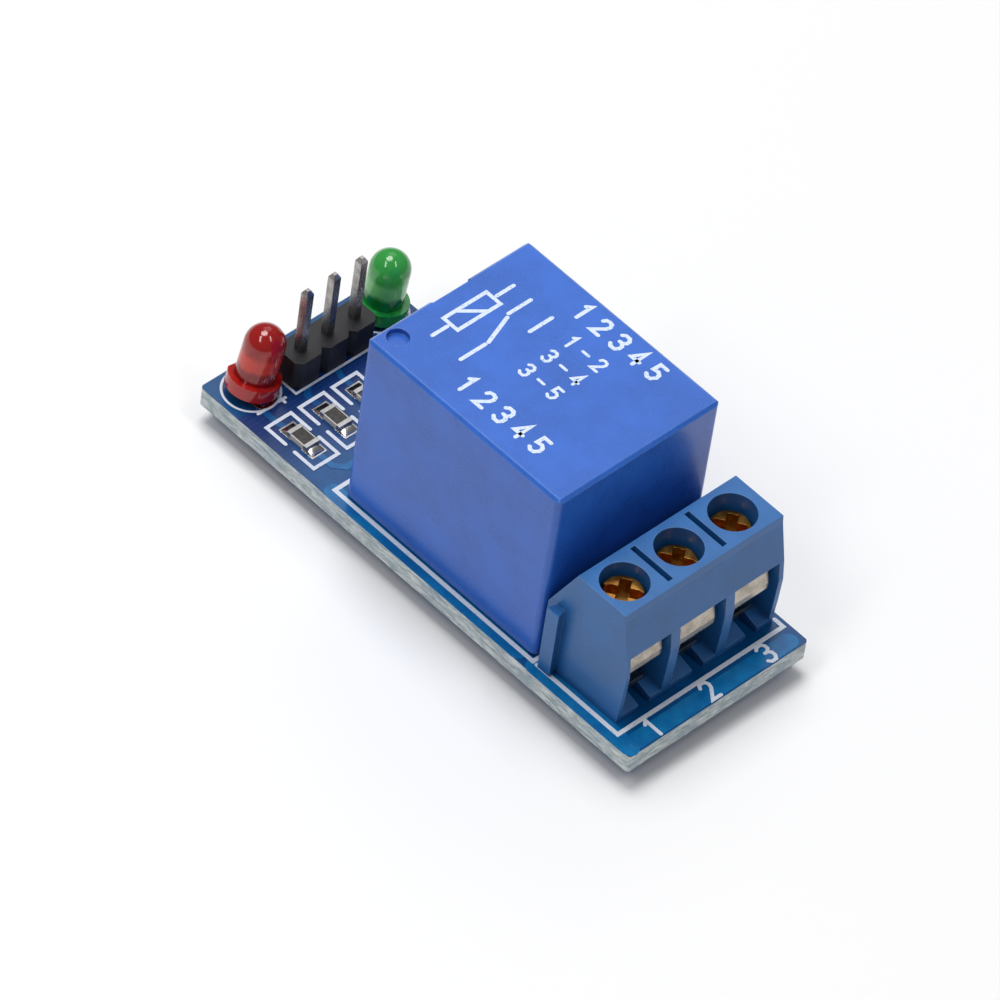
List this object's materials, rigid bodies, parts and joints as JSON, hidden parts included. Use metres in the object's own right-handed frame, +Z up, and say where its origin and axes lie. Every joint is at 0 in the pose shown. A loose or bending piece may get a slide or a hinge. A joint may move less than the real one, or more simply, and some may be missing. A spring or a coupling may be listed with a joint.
{
  "type": "relay module",
  "caption": "Small circuit board with a cased power relay, a screw terminal block with wire guards, a pin header and indicator lamps; switches a load from a logic signal.",
  "frame": {"origin": "middle of the board's outline, level with the tips of the cut leads under the board", "axes": "+X from the pin header to the screw terminals, +Y across the board towards its far long edge, +Z up from the board to the parts"},
  "size_m": [0.043, 0.017, 0.0187],
  "materials": {
    "board_mask": "dark blue solder mask over glass-fibre laminate",
    "relay_case": "moulded blue, satin",
    "relay_bed": "moulded black",
    "bobbin": "moulded natural",
    "winding": "enamelled copper wire",
    "soft_iron": "plated",
    "spring_leaf": "rolled bronze strip",
    "contact_silver": "silver alloy",
    "contact_blade": "rolled copper alloy",
    "tinned_lead": "tin plated",
    "terminal_blue": "moulded blue, satin",
    "screw_zinc": "yellow passivated zinc",
    "guard_nickel": "nickel plated strip",
    "post_tin": "tin plated brass",
    "header_black": "moulded black",
    "red_lens": "tinted epoxy",
    "green_lens": "tinted epoxy",
    "chip_body": "moulded or glazed black with tinned ends",
    "solder": "bright solder"
  },
  "bodies": {
    "module": {"circuit_board": "board_mask", "relay_cover": "relay_case", "relay_base": "relay_bed", "coil_bobbin": "bobbin", "coil_winding": "winding", "iron_core": "soft_iron", "yoke": "soft_iron", "hinge_spring": "spring_leaf", "open_contact_blade": "contact_blade", "open_contact_button": "contact_silver", "closed_contact_blade": "contact_blade", "closed_contact_button": "contact_silver", "coil_pin_1": "tinned_lead", "coil_pin_2": "tinned_lead", "terminal_housing": "terminal_blue", "terminal_post_1": "post_tin", "terminal_post_2": "post_tin", "terminal_post_3": "post_tin", "header_housing": "header_black", "header_pin_1": "tinned_lead", "header_pin_2": "tinned_lead", "header_pin_3": "tinned_lead", "red_lamp_lens": "red_lens", "red_lamp_anode": "tinned_lead", "red_lamp_cathode": "tinned_lead", "green_lamp_lens": "green_lens", "green_lamp_anode": "tinned_lead", "green_lamp_cathode": "tinned_lead", "resistor_1": "chip_body", "resistor_2": "chip_body", "resistor_3": "chip_body", "transistor": "chip_body", "diode": "chip_body", "solder_coil_1": "solder", "solder_coil_2": "solder", "solder_common": "solder", "solder_open_contact": "solder", "solder_closed_contact": "solder", "solder_terminal_1": "solder", "solder_terminal_2": "solder", "solder_terminal_3": "solder", "solder_header_1": "solder", "solder_header_2": "solder", "solder_header_3": "solder", "solder_red_1": "solder", "solder_red_2": "solder", "solder_green_1": "solder", "solder_green_2": "solder"},
    "armature_group": {"armature": "soft_iron", "contact_spring": "spring_leaf", "moving_contact": "contact_silver"},
    "guard_1": {"wire_guard_1": "guard_nickel"},
    "screw_1": {"terminal_screw_1": "screw_zinc"},
    "guard_2": {"wire_guard_2": "guard_nickel"},
    "screw_2": {"terminal_screw_2": "screw_zinc"},
    "guard_3": {"wire_guard_3": "guard_nickel"},
    "screw_3": {"terminal_screw_3": "screw_zinc"}
  },
  "joints": [
    {"name": "armature_hinge", "type": "hinge", "parent": "module", "child": "armature_group", "pos_m": [-0.00632, 0.00013, 0.01414], "axis": [0, 1, 0], "range_deg": [0, 2], "stiffness_Nm_per_rad": 0.02, "springref_deg": -17.19},
    {"name": "guard_1_slide", "type": "slide", "parent": "module", "child": "guard_1", "axis": [0, 0, -1], "range_m": [0, 0.0022]},
    {"name": "screw_1_turn", "type": "hinge", "parent": "guard_1", "child": "screw_1", "pos_m": [0.01564, -0.00495, 0.0105], "axis": [0, 0, -1], "range_deg": [0, 1583]},
    {"name": "guard_2_slide", "type": "slide", "parent": "module", "child": "guard_2", "axis": [0, 0, -1], "range_m": [-0.0004, 0.0018]},
    {"name": "screw_2_turn", "type": "hinge", "parent": "guard_2", "child": "screw_2", "pos_m": [0.01564, 0.00013, 0.0105], "axis": [0, 0, -1], "range_deg": [-287, 1294]},
    {"name": "guard_3_slide", "type": "slide", "parent": "module", "child": "guard_3", "axis": [0, 0, -1], "range_m": [-0.0004, 0.0018]},
    {"name": "screw_3_turn", "type": "hinge", "parent": "guard_3", "child": "screw_3", "pos_m": [0.01564, 0.00521, 0.0105], "axis": [0, 0, -1], "range_deg": [-287, 1294]}
  ]
}
